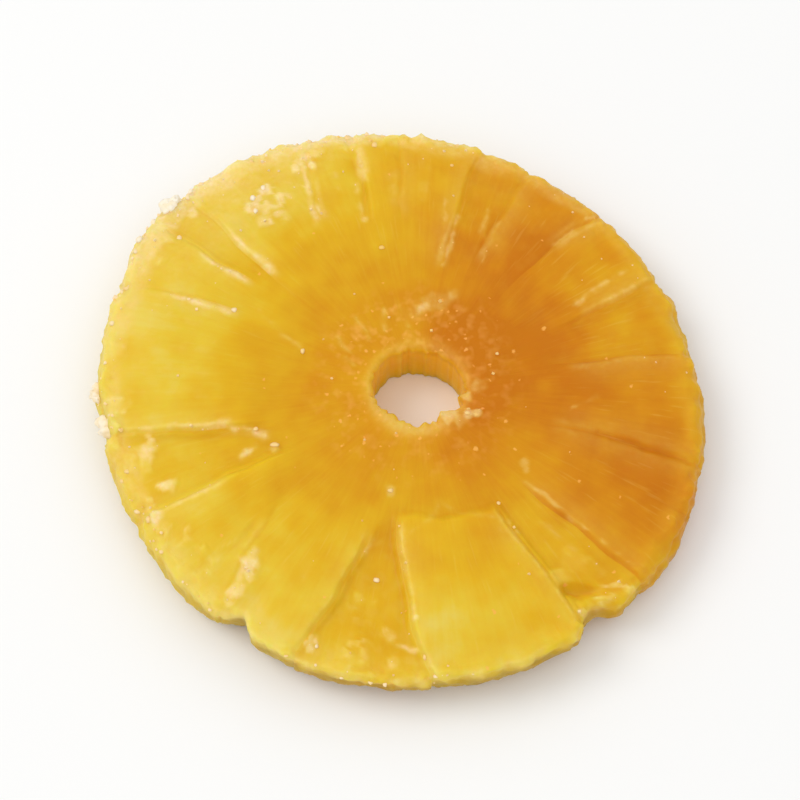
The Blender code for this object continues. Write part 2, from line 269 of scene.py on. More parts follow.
# Threads of crust, or cracks where their height is below zero: a path of directions and distances from the
# core's axis, the width and height in millimetres, and how white they are
Thread = namedtuple("Thread", "path width height crust")
THREADS = [
    Thread([(193.5, 24.6), (196, 22.8), (199.3, 20.9)], 0.62, 0.12, 1),
    Thread([(188.6, 38.5), (190.4, 35.5), (190.6, 31.0), (192.3, 26.5)], 0.5, 0.06, 0.45),
    Thread([(204, 24.5), (202, 22.5)], 0.49, 0.05, 0.9),
    Thread([(222, 37), (224, 32), (223, 28)], 0.43, -0.2, 0),
    Thread([(221, 36), (223, 30)], 0.32, 0.02, 0.35),
    Thread([(230.5, 38), (229.5, 34), (228, 30.5)], 0.6, 0.09, 0.8),
    Thread([(240, 33), (242, 27)], 0.32, 0.02, 0.25),
    Thread([(253, 24), (254, 21.5)], 0.43, 0.04, 0.9),
    Thread([(264, 22), (270, 19.5), (275, 18.5), (279, 15.5), (285, 18), (293, 19.5), (298, 20.5)], 0.38, 0.04, 0.28),
    Thread([(304.4, 33.0), (306.4, 34.0), (308.0, 34.8)], 0.70, -1.1, 0.0),
    Thread([(304.5, 36.4), (310, 37.3)], 0.40, 0.10, 0.5),
    Thread([(311, 35.4), (314.6, 38.3)], 0.33, 0.07, 0.65),
    Thread([(312, 34), (311, 28), (309, 24)], 0.32, 0.02, 0.35),
    Thread([(315.6, 18.8), (317.0, 27), (317.8, 35.2)], 0.36, 0.05, 0.5),
    Thread([(343.5, 36), (344, 24)], 0.49, -0.24, 0),
    Thread([(352, 20), (356, 23)], 0.32, 0.04, 0.4),
    Thread([(30, 35), (31, 28), (29, 23)], 0.38, 0.05, 0.6),
    Thread([(47, 35), (49, 27)], 0.38, 0.05, 0.5),
    Thread([(65, 20), (67, 23), (70, 24), (70, 27)], 0.38, 0.05, 0.42),
    Thread([(67, 23), (64, 25.5)], 0.32, 0.04, 0.35),
    Thread([(78, 25), (79, 18)], 0.43, 0.05, 0.5),
    Thread([(82, 27), (82, 24)], 0.54, 0.04, 0.5),
    Thread([(87, 34), (88, 27)], 0.32, 0.02, 0.3),
    Thread([(105.3, 35), (104.2, 33), (104, 30.5), (105.8, 26.2)], 0.3, -0.2, 0),
    Thread([(105.4, 31), (106.8, 26.5)], 0.45, 0.05, 0.5),
    Thread([(96, 38), (96.5, 27)], 1.1, 0.05, 0.28),
    Thread([(88.5, 37), (89.5, 28)], 0.9, 0.04, 0.24),
    Thread([(103.4, 38.6), (102.4, 35), (103.0, 31.5)], 0.8, 0.08, 0.75),
    Thread([(108.5, 37), (109.5, 31)], 0.7, 0.05, 0.40),
    Thread([(163, 38), (163, 30)], 0.8, 0.04, 0.30),
    Thread([(170, 38), (170.5, 27)], 0.8, 0.04, 0.28),
    Thread([(176, 38), (177, 26)], 0.7, 0.04, 0.26),
    Thread([(181.5, 37), (182, 28)], 0.7, 0.04, 0.26),
    Thread([(117.5, 33), (117, 28.5)], 0.45, 0.06, 0.9),
    Thread([(266, 34.7), (268, 35.0), (270.6, 35.4)], 0.4, 0.1, 0.9),
    Thread([(268.4, 29.5), (269.8, 33)], 0.35, 0.08, 0.6),
    Thread([(121, 34.6), (121.3, 31.4)], 0.45, 0.06, 0.8),
    Thread([(134, 37), (135.5, 30)], 0.49, -0.12, 0),
    Thread([(152, 24), (155, 21), (160, 16.5)], 0.43, 0.05, 0.35),
    Thread([(161, 37), (162, 34)], 0.32, 0.02, 0.5),
    Thread([(168, 38), (168, 33)], 0.32, 0.03, 0.5),
    Thread([(166, 31), (167, 27)], 0.27, 0.02, 0.3),
    Thread([(174, 36), (175, 28)], 0.27, 0.02, 0.3),
    Thread([(179, 36), (179, 32)], 0.27, 0.02, 0.3),
    Thread([(183, 35), (184, 25)], 0.27, 0.02, 0.25),
    Thread([(73, 13.6), (84, 12), (95, 10.4)], 0.9, 0.06, 0.75),
    Thread([(118, 9.3), (112, 12)], 0.35, 0.03, 0.4),
    Thread([(133, 9.5), (128, 12.7)], 0.3, 0.03, 0.35),
    Thread([(151, 10), (147, 12.6)], 0.35, 0.03, 0.4),
    Thread([(160, 9.2), (157, 10.6)], 0.4, 0.03, 0.45),
    Thread([(99, 9), (103, 12.4)], 0.35, 0.03, 0.35),
]
THREAD_WANDER = 0.5 * MM
THREAD_WANDER_LENGTH = 2.4 * MM
THREAD_JAG = 0.22 * MM
THREAD_JAG_LENGTH = 0.8 * MM

# Patches of deeper or lighter flesh, a few of them partly painted shade: direction, distance and reach in millimetres,
# and how much more amber
Tint = namedtuple("Tint", "degrees away reach amber")
TINTS = [
    Tint(318, 19, 7, -0.16),
    Tint(329, 22, 5, -0.10),
    # these five, through the one at 15°, are partly the flesh's own amber and partly painted shade of rings that lay
    # beside it
    Tint(341, 30, 7, 0.19),
    Tint(332, 36, 5, 0.10),
    Tint(52, 27, 7, 0.12),
    Tint(355, 21, 4, 0.12),
    Tint(15, 20, 6, 0.12),
    Tint(90, 31, 8, 0.14),
    Tint(114, 30, 5, 0.07),
    Tint(303, 24, 4, -0.07),
    Tint(258, 24, 3, -0.10),
    Tint(198, 24, 3, -0.08),
    Tint(152, 24, 5, -0.14),
    Tint(135, 28, 5, -0.08),
    Tint(202, 32, 5, -0.06),
    Tint(181, 38, 5, 0.10),
]

Station = namedtuple("Station", "out out_by up up_by")
Column = namedtuple("Column", "fruitlet share")
Finish = namedtuple("Finish", "amber frost core rim deep hollow")


def ramp(value, low, high):
    """0 below low, 1 above high, and a smooth rise between them."""
    t = min(max((value - low) / (high - low), 0.0), 1.0)
    return t * t * (3 - 2 * t)


def mix(a, b, share):
    return a + (b - a) * share


def bump(distance, width):
    return math.exp(-((distance / width) ** 2))


def turned(degrees):
    """An angle in degrees as the nearest turn to zero."""
    return (degrees + 180.0) % 360.0 - 180.0


def soft_noise(x, y, layer, length):
    """Smooth noise from -1 to 1 with features about length across."""
    return noise.noise(Vector((x / length, y / length, 7.3 * layer)))


def fruitlet(index):
    return FRUITLETS[index % len(FRUITLETS)]


def crease_deg(index, radius):
    """Where the first crease of a fruitlet lies at this radius. It counts on past 360 for the next turn."""
    piece = fruitlet(index)
    along = min(max((RIM_RADIUS - radius) / (RIM_RADIUS - piece.reach * MM), 0.0), 1.0)
    wander = CREASE_WANDER * soft_noise(radius, 0.0, index % len(FRUITLETS), 5 * MM)
    turns = index // len(FRUITLETS)
    return piece.start + piece.lean * along + math.degrees(wander / max(radius, CORE_RADIUS)) + 360.0 * turns


def columns():
    """The mesh's columns: each fruitlet has some for its width, and they gather at its creases."""
    made = []
    for index in range(len(FRUITLETS)):
        width = crease_deg(index + 1, RIM_RADIUS) - crease_deg(index, RIM_RADIUS)
        count = round(width / DEGREES_PER_COLUMN) + COLUMNS_AT_CREASE
        for step in range(count):
            even = step / count
            gathered = even - CREASE_GATHER * math.sin(2 * math.pi * even) / (2 * math.pi)
            made.append(Column(index, gathered))
    return made


def corner(name, out, up, first_deg):
    """Stations round one rounded edge of the section, a quarter turn from first_deg."""
    wide, high = CORNERS[name]
    inwards = -1 if out else 1
    down = -1 if up else 1
    made = []
    for step in range(ROWS[name] + 1):
        angle = math.radians(first_deg + 90.0 * step / ROWS[name])
        made.append(Station(out, wide * (inwards + math.sin(angle)), up, high * (down + math.cos(angle))))
    return made


def between(first, last, count):
    """Stations evenly between two others, without either."""
    steps = [step / (count + 1) for step in range(1, count + 1)]
    return [Station(*(mix(a, b, share) for a, b in zip(first, last))) for share in steps]


def stations():
    """The section as a closed loop: outwards over the top, down the rim, back under the base, up the hole."""
    rim_top = corner("rim_top", 1, 1, 0)
    rim_base = corner("rim_base", 1, 0, 90)
    hole_base = corner("hole_base", 0, 0, 180)
    hole_top = corner("hole_top", 0, 1, 270)
    loop = between(hole_top[-1], rim_top[0], ROWS["top"]) + rim_top
    loop += between(rim_top[-1], rim_base[0], ROWS["wall"]) + rim_base
    loop += between(rim_base[-1], hole_base[0], ROWS["base"]) + hole_base
    loop += between(hole_base[-1], hole_top[0], ROWS["hole"]) + hole_top
    return loop


def rim_radius(column, degrees, width):
    """Radius of the outside in one direction, on a fruitlet of this width."""
    piece = fruitlet(column.fruitlet)
    direction = math.radians(degrees)
    radius = RIM_RADIUS - CORE_OFFSET * math.cos(math.radians(degrees - CORE_OFFSET_DEG))
    radius += OVALITY * math.cos(math.radians(2 * (degrees - OVAL_DEG)))
    radius += mix(piece.rim_first, piece.rim_last, column.share) * MM
    radius += RIM_BULGE * (1 - (2 * column.share - 1) ** 2)
    radius += RIM_WOBBLE * soft_noise(14 * math.cos(direction), 14 * math.sin(direction), 5, 1.0)
    for index, share in ((column.fruitlet, column.share), (column.fruitlet + 1, 1 - column.share)):
        radius -= RIM_NOTCH * fruitlet(index).groove * MM * bump(share * width, NOTCH_WIDTH)
    for middle, half_width, depth in NOTCHES:
        radius -= depth * MM * (1 - ramp(abs(turned(degrees - middle)), 0, half_width))
    return radius


def trimmed(degrees):
    """How much the rim was trimmed in one direction, from 0 to 1."""
    return 1 - ramp(abs(turned(degrees - TRIM_DEG)), *TRIM_HALF_DEG)


def hole_radius(degrees, height_share):
    direction = math.radians(degrees)
    tear = soft_noise(9 * math.cos(direction), 9 * math.sin(direction), 2, 1.0)
    radius = HOLE_RADIUS + HOLE_OVALITY * math.cos(math.radians(2 * (degrees - HOLE_OVAL_DEG))) + HOLE_TEAR * tear
    for middle, half_width, depth in SCRAPS:
        radius -= depth * MM * bump(turned(degrees - middle), 0.7 * half_width) * ramp(height_share, 0.3, 0.9)
    return radius


def shoulder(index, share, radius):
    """How far a fruitlet has risen from the core: 0 at the core, 1 on the fruitlet."""
    piece = fruitlet(index)
    begins = mix(piece.reach, fruitlet(index + 1).reach, share) * MM
    begins += SHOULDER_WANDER * soft_noise(2.5 * share, index, 10, 1.0)
    return ramp(radius, begins - 0.5 * piece.rise * MM, begins + 0.5 * piece.rise * MM)


def stand(index, share, radius):
    """A fruitlet's height over the face. A sunken one comes back up towards the rim."""
    piece = fruitlet(index)
    height = piece.lift + piece.tilt * (share - 0.5)
    if height < 0:
        height *= 1 - RIM_FILL * ramp(radius, FADE_FROM, RIM_RADIUS)
    return height * MM * shoulder(index, share, radius)


def opened(crease, radius):
    """How open a crease is at this radius: it starts at its reach and fades at the rim."""
    reach = fruitlet(crease).reach * MM
    fade = 1 - CREASE_FADE * ramp(radius, FADE_FROM, RIM_RADIUS)
    return ramp(radius, reach - 1.0 * MM, reach + 3.0 * MM) * fade


def crease_gaps(column, radius):
    """The two creases beside this column at this radius, each with the distance to it."""
    index, share = column
    width = math.radians(crease_deg(index + 1, radius) - crease_deg(index, radius)) * radius
    return ((index, share * width), (index + 1, (1 - share) * width))


def relief(column, radius, x, y):
    """Height of the fruitlets' relief over a smooth face."""
    index, share = column
    gaps = crease_gaps(column, radius)
    nearest = min(gap for _, gap in gaps)
    beside = stand(index - 1, 1, radius) if share < 0.5 else stand(index + 1, 0, radius)
    height = mix(stand(index, share, radius), beside, 0.5 * (1 - ramp(nearest, 0, STEP_WIDTH)))
    height += CROWN * (1 - (2 * share - 1) ** 2) * shoulder(index, share, radius)
    for crease, gap in gaps:
        depth = GROOVE_SHARE * fruitlet(crease).groove * MM
        height -= opened(crease, radius) * depth * bump(gap, GROOVE_WIDTH)
        height += opened(crease, radius) * LIP_RISE * bump(gap - LIP_AWAY, 0.7 * LIP_AWAY)
    return height + ROLL * soft_noise(x, y, 3, ROLL_LENGTH)


def warp(degrees, radius):
    return WARP * (radius / RIM_RADIUS) ** 2 * math.cos(math.radians(2 * (degrees - WARP_DEG)))


def polar_place(degrees, away):
    """A place on the face in metres from a direction and a distance in millimetres."""
    direction = math.radians(degrees)
    return (away * MM * math.cos(direction), away * MM * math.sin(direction))


def thread_pieces():
    """The straight pieces of all threads: two ends, the box they reach, and the thread."""
    made = []
    for thread in THREADS:
        places = [polar_place(*step) for step in thread.path]
        for a, b in zip(places, places[1:]):
            reach = 2.2 * thread.width * MM
            low = (min(a[0], b[0]) - reach, min(a[1], b[1]) - reach)
            high = (max(a[0], b[0]) + reach, max(a[1], b[1]) + reach)
            made.append((a, b, low, high, thread))
    return made


THREAD_PIECES = thread_pieces()


def patch_lumps():
    dice = random.Random(8)
    made = []
    for patch in PATCHES:
        middle = polar_place(patch.degrees, patch.away)
        for _ in range(patch.count):
            turn, off = dice.uniform(0, 2 * math.pi), patch.radius * MM * math.sqrt(dice.random())
            x, y = middle[0] + off * math.cos(turn), middle[1] + off * math.sin(turn)
            size, crust = patch.size * dice.uniform(0.7, 1.3), patch.crust * dice.uniform(0.7, 1.0)
            degrees, away = math.degrees(math.atan2(y, x)), math.hypot(x, y) / MM
            made.append(Lump(degrees, away, size, PATCH_LUMP_HEIGHT * dice.uniform(0.5, 1.1), crust, 0.0))
    return made


TINTS_AT = [(*polar_place(tint.degrees, tint.away), tint) for tint in TINTS]
ALL_LUMPS = [(*polar_place(lump.degrees, lump.away), lump) for lump in LUMPS + patch_lumps()]


def distance_to(x, y, a, b):
    """Distance from a place to the straight piece from a to b."""
    along = ((x - a[0]) * (b[0] - a[0]) + (y - a[1]) * (b[1] - a[1])) / ((b[0] - a[0]) ** 2 + (b[1] - a[1]) ** 2)
    along = min(max(along, 0.0), 1.0)
    return math.hypot(x - mix(a[0], b[0], along), y - mix(a[1], b[1], along))


def crust_at(x, y):
    """The crust and cracks at one place of the face: their height, and 0 to 1 for how white they are."""
    height, crust = 0.0, 0.0
    for lump_x, lump_y, lump in ALL_LUMPS:
        away = math.hypot(x - lump_x, y - lump_y)
        if away < 2.2 * lump.size * MM:
            net = ramp(soft_noise(x, y, 9, 1.1 * MM) + 0.5 * soft_noise(x, y, 13, 2.2 * MM), -0.15, 0.3)
            away *= 1 + 0.7 * soft_noise(x, y, 23, 1.2 * MM)
            here = (1 - ramp(away, 0.4 * lump.size * MM, 1.2 * lump.size * MM)) * mix(1.0, net, lump.grit)
            height = max(height, lump.height * MM * here)
            crust = max(crust, here * lump.crust)
    wander_x = x + THREAD_WANDER * soft_noise(x, y, 12, THREAD_WANDER_LENGTH)
    wander_x += THREAD_JAG * soft_noise(x, y, 19, THREAD_JAG_LENGTH)
    wander_y = y + THREAD_WANDER * soft_noise(x, y, 14, THREAD_WANDER_LENGTH)
    wander_y += THREAD_JAG * soft_noise(x, y, 20, THREAD_JAG_LENGTH)
    broken = mix(0.3, 1.0, ramp(soft_noise(x, y, 11, 1.6 * MM), -0.35, 0.25))
    tallest = deepest = 0.0
    for a, b, low, high, thread in THREAD_PIECES:
        if low[0] < wander_x < high[0] and low[1] < wander_y < high[1]:
            here = bump(distance_to(wander_x, wander_y, a, b), thread.width * MM)
            tallest = max(tallest, thread.height * MM * here)
            deepest = min(deepest, thread.height * MM * here)
            crust = max(crust, thread.crust * here * broken)
    return height + tallest + deepest, min(crust, 1.0)


def top_height(column, degrees, radius, rim, x, y):
    flesh = mix(CORE_HEIGHT, FLESH_HEIGHT, ramp(radius, CORE_RADIUS, CORE_RADIUS + 8 * MM))
    flesh -= MOAT_DEPTH * bump(radius - MOAT_RADIUS, 3.5 * MM)
    flesh -= RIM_DROP * ramp(radius, 0.72 * rim, rim) ** 2
    flesh += HOLE_LIP * bump(radius - HOLE_RADIUS - 0.9 * MM, 0.6 * MM)
    return flesh + relief(column, radius, x, y) + warp(degrees, radius) + crust_at(x, y)[0]


def base_height(column, degrees, radius, rim, x, y):
    """The underside: hollow where the top is hollow, and flattened where it meets the surface."""
    height = warp(degrees, radius) - SINK - BASE_SHARE * relief(column, radius, x, y)
    return height + BASE_CURL * ramp(radius, 0.75 * rim, rim)


def finish_at(column, degrees, radius, rim, station, x, y):
    """How amber, how frosted with sugar and how core-like the flesh is at one point of the mesh."""
    piece = fruitlet(column.fruitlet)
    share = radius / rim
    side = ramp(station.out - 0.5, 0.3, 0.5) * (1 - station.up)
    risen = shoulder(*column, radius)
    to_right = ramp(math.cos(math.radians(degrees - 8)), -0.2, 0.9)
    to_left = 0.5 + 0.5 * math.cos(math.radians(degrees - 145))
    amber = 0.64 - 0.16 * ramp(share, 0.25, 0.55) - 0.24 * ramp(share, 0.5, 0.85) - 0.12 * ramp(share, 0.88, 1.0)
    # towards +X (to_right) and round 48° (next line) the flesh is more amber: partly its own tone, partly painted shade
    # and orange light bounced from rings that lay beside it
    amber += piece.tone * risen + 0.36 * to_right - 0.06 * to_left * ramp(share, 0.5, 0.8)
    # on the trimmed side the rim's wall is more amber: painted shade
    amber += 0.22 * side * trimmed(degrees) + 0.10 * bump(turned(degrees - 48), 28)
    amber += 0.12 * soft_noise(x, y, 6, 7 * MM) + 0.09 * soft_noise(x, y, 15, 2.5 * MM) + 0.08 * side
    amber += sum(t.amber * bump(math.hypot(x - t_x, y - t_y), t.reach * MM) for t_x, t_y, t in TINTS_AT)
    amber += 0.12 * bump(turned(degrees - 306.2), 2.0) * bump(radius - 34.0 * MM, 1.5 * MM)
    core = 1 - ramp(radius + 1.5 * MM * soft_noise(x, y, 8, 3 * MM), 10 * MM, 16 * MM)
    core *= mix(0.4, 1.0, bump(turned(degrees - 115), 80))
    crusty = 0.7 + 0.8 * soft_noise(x, y, 4, 1.3 * MM) + 0.5 * soft_noise(x, y, 16, 5 * MM)
    band = ramp(share + 0.03 * soft_noise(x, y, 25, 5 * MM), 0.90, 0.95)
    frost = mix(0.08, 0.40, to_left) * band * (0.6 + 0.5 * crusty) * (1 - 0.4 * side)
    frost += 0.5 * side * to_left**2 * ramp(soft_noise(x, y, 26, 2.5 * MM), -0.5, 0.3)
    veil = ramp(soft_noise(x, y, 17, 6 * MM) + 0.25, -0.2, 0.6)
    frost += 0.20 * veil * to_left**2 * ramp(share, 0.6, 0.95)
    frost += 0.30 * bump(turned(degrees - 134), 24) * ramp(share, 0.6, 0.88)
    hem = bump(rim - radius - 0.6 * MM, 1.2 * MM) * ramp(soft_noise(x, y, 27, 1.5 * MM), -0.8, 0.2)
    frost += 0.5 * hem * bump(turned(degrees - 102), 36)
    frost += 0.25 * piece.rough * risen * ramp(soft_noise(x, y, 18, 1.1 * MM), -0.1, 0.4)
    edge = bump(rim - radius - 0.2 * MM, 0.5 * MM) * station.up
    frost += 0.4 * edge * trimmed(degrees) * ramp(soft_noise(x, y, 24, 2 * MM), -0.6, 0.3)
    near_hole = mix(0.25, 0.5, bump(turned(degrees - 250), 70.0)) * bump(radius - HOLE_RADIUS - 0.4 * MM, 1.1 * MM)
    frost += near_hole * ramp(station.up, 0.5, 1.0)
    if station.up > 0.5:
        frost = max(frost, crease_frost(column, radius, x, y), crust_at(x, y)[1])
    rim_share = ramp(share, 0.93, 0.98)
    # painted shade on the rim's side below its upper edge, strongest where the rim was trimmed
    below_edge = ramp(1 - station.up, 0.0, 0.3)
    deep = ramp(station.out, 0.8, 1.0) * below_edge * mix(0.3, 1.0, trimmed(degrees))
    # painted glow on the hole's wall, of light that comes through the flesh
    hollow = (1 - ramp(station.out, 0.0, 0.1)) * (1 - ramp(station.out_by, 0.0, 0.4 * MM))
    hollow *= mix(0.4, 1.0, ramp(1 - station.up, 0.0, 0.12))
    return Finish(min(max(amber, 0.0), 1.2), min(max(frost, 0.0), 1.0), core, rim_share, deep, hollow)


def crease_frost(column, radius, x, y):
    """The pale line of crust along a crease. It lies on the side that stands higher."""
    frost = 0.0
    for crease, gap in crease_gaps(column, radius):
        piece = fruitlet(crease)
        before, after = stand(crease - 1, 1, radius), stand(crease, 0, radius)
        here, there = (before, after) if crease > column.fruitlet else (after, before)
        raised = ramp(here - there, -0.15 * MM, 0.05 * MM)
        inside = ramp(radius - piece.sugar_from * MM, -1.5 * MM, 1.5 * MM)
        inside *= 1 - ramp(radius - piece.sugar_to * MM, -3 * MM, 3 * MM)
        along = (radius / MM - piece.sugar_from) / (piece.sugar_to - piece.sugar_from)
        thick = LINE_WIDTH * (1.35 - 0.6 * along + 0.6 * soft_noise(x, y, 22, 2.5 * MM))
        line = bump(gap - LINE_AWAY, max(thick, 0.15 * MM)) * raised * inside
        broken = mix(0.6, 1.0, ramp(soft_noise(x, y, 11, 1.6 * MM), -0.5, 0.1))
        # the paler band on the raised side: partly crust, partly painted glow
        glow = GLOW * mix(0.4, 1.0, piece.sugar) * bump(gap, GLOW_WIDTH) * raised * ramp(gap, 0.2 * MM, 1.0 * MM)
        glow *= ramp(radius - piece.sugar_from * MM, -2 * MM, 4 * MM)
        frost = max(frost, piece.sugar * line * broken, glow)
    return frost


def surface_point(column, station):
    """Where one point of the mesh lies, from the core's axis, and its finish."""
    radius = mix(HOLE_RADIUS, RIM_RADIUS, station.out)
    for _ in range(2):  # the crease's direction depends on the radius, and the rim's radius on the direction
        first, last = crease_deg(column.fruitlet, radius), crease_deg(column.fruitlet + 1, radius)
        degrees = mix(first, last, column.share)
        rim = rim_radius(column, degrees, math.radians(last - first) * RIM_RADIUS)
        inner = hole_radius(degrees, station.up)
        belly = WALL_BELLY * station.out * math.sin(math.pi * station.up)
        belly -= UNDERCUT * trimmed(degrees) * (1 - station.up)
        direction = math.radians(degrees)
        wear = 1 + station.out * RIM_WEAR * soft_noise(13 * math.cos(direction), 13 * math.sin(direction), 21, 1.0)
        wear *= 1 - TRIM_SHARPENS * trimmed(degrees) * station.out
        radius = mix(inner, rim + belly, station.out) + station.out_by * wear
    x, y = radius * math.cos(direction), radius * math.sin(direction)
    top = top_height(column, degrees, radius, rim, x, y)
    base = base_height(column, degrees, radius, rim, x, y)
    place = Vector((x, y, mix(base, top, station.up) + station.up_by * wear))
    return place, finish_at(column, degrees, radius, rim, station, x, y)


def fine_relief(place, finish):
    """How far a point stands out for the fibres, the crust and the grain of the core."""
    away = max(math.hypot(place.x, place.y), MM)
    fine = noise.noise(Vector((34 * place.x / away, 34 * place.y / away, away / (9 * MM))))
    broad = noise.noise(Vector((15 * place.x / away, 15 * place.y / away, away / (14 * MM))))
    rise = STREAK_RISE * (0.5 * fine + broad) * ramp(away, 9 * MM, 18 * MM)
    rise += DENT_RISE * (1 + 1.5 * finish.rim) * noise.noise(place / DENT_LENGTH)
    rise += 0.4 * DENT_RISE * noise.noise(place / (0.4 * DENT_LENGTH))
    rise += CRUST_RISE * finish.frost * noise.noise(place / CRUST_LENGTH)
    rise += 0.6 * CRUST_RISE * finish.frost * noise.noise(place / (0.45 * CRUST_LENGTH))
    rise += RIM_ROUGH * finish.rim * noise.noise(place / RIM_ROUGH_LENGTH)
    rise += 0.7 * RIM_ROUGH * finish.rim * noise.noise(place / (0.5 * RIM_ROUGH_LENGTH))
    return rise + CORE_GRAIN * finish.core * noise.noise(place / CORE_GRAIN_LENGTH)


def ring_mesh():
    """A torus from a spun circle, each of whose points is then moved to its place on the slice."""
    around, section = columns(), stations()
    bm = bmesh.new()
    layers = {name: bm.verts.layers.float.new(name) for name in Finish._fields}
    circle = bmesh.ops.create_circle(bm, segments=len(section), radius=1.0)
    for vert in circle["verts"]:
        vert.co = (vert.co.x + 3.0, 0.0, vert.co.y)
    bmesh.ops.spin(
        bm, geom=bm.edges[:], axis=(0, 0, 1), cent=(0, 0, 0), angle=2 * math.pi, steps=len(around), use_merge=True
    )
    for vert in bm.verts:
        across = math.hypot(vert.co.x, vert.co.y) - 3.0
        column = round(math.atan2(vert.co.y, vert.co.x) / (2 * math.pi) * len(around)) % len(around)
        row = round(math.atan2(across, vert.co.z) / (2 * math.pi) * len(section)) % len(section)
        vert.co, finish = surface_point(around[column], section[row])
        for name, value in finish._asdict().items():
            vert[layers[name]] = value
    if bm.calc_volume(signed=True) < 0:
        bmesh.ops.reverse_faces(bm, faces=bm.faces[:])
    bm.normal_update()
    for vert in bm.verts:
        finish = Finish(*(vert[layers[name]] for name in Finish._fields))
        vert.co += vert.normal * fine_relief(vert.co, finish)
        vert.co.z = max(vert.co.z, 0.0)
    low = [min(vert.co[axis] for vert in bm.verts) for axis in range(2)]
    high = [max(vert.co[axis] for vert in bm.verts) for axis in range(2)]
    middle = Vector(((low[0] + high[0]) / 2, (low[1] + high[1]) / 2, 0.0))
    cad_low, cad_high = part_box("pineapple_ring")
    stand_at = Vector(((cad_low[0] + cad_high[0]) / 2, (cad_low[1] + cad_high[1]) / 2, cad_low[2]))
    bmesh.ops.translate(bm, verts=bm.verts[:], vec=stand_at - middle)
    mesh = bpy.data.meshes.new("candied_ring")
    bm.to_mesh(mesh)
    bm.free()
    mesh.shade_smooth()
    return mesh, stand_at - middle


def new_object(name, mesh, material):
    mesh.materials.append(material)
    made = bpy.data.objects.new(name, mesh)
    bpy.context.scene.collection.objects.link(made)
    return made


# Materials


def new_material(name):
    """A material with its shader, and a function that adds a node to it and sets its inputs."""
    material = bpy.data.materials.new(name)
    material.use_nodes = True
    tree = material.node_tree
    shader = tree.nodes["Principled BSDF"]

    def add(kind, inputs=(), **settings):
        node = tree.nodes.new(kind)
        for key, value in settings.items():
            setattr(node, key, value)
        for key, value in dict(inputs).items():
            if isinstance(value, bpy.types.NodeSocket):
                tree.links.new(value, node.inputs[key])
            else:
                node.inputs[key].default_value = value
        return node

    return material, shader, tree, add


# Colours from pale to deep amber flesh, and from a thin film of crust to a thick one
FLESH_COLOURS = [
    (0.00, (0.80, 0.63, 0.11)),
    (0.15, (0.79, 0.56, 0.038)),
    (0.35, (0.77, 0.465, 0.012)),
    (0.60, (0.72, 0.355, 0.006)),
    (0.80, (0.68, 0.275, 0.004)),
    (1.00, (0.61, 0.195, 0.002)),
]
CRUST_COLOURS = [
    (0.0, (0.82, 0.58, 0.06)),
    (0.5, (0.91, 0.67, 0.23)),
    (1.0, (0.95, 0.71, 0.36)),
]


SPECK_COLOUR = (0.94, 0.49, 0.10)
SYRUP_COLOUR = (0.92, 0.58, 0.13)  # of sugar that the syrup has soaked
# darkens the rim's side below its upper edge: painted shade
WALL_SHADE_TINT = (0.66, 0.60, 0.5)
# painted glow: the hole's wall is a bright orange as if lit through the flesh
HOLE_GLOW_PAINT = (0.97, 0.56, 0.006)


def set_stops(ramp_node, stops):
    elements = ramp_node.color_ramp.elements
    while len(elements) < len(stops):
        elements.new(0.5)
    for element, (position, colour) in zip(elements, stops):
        element.position = position
        element.color = (*colour, 1.0)


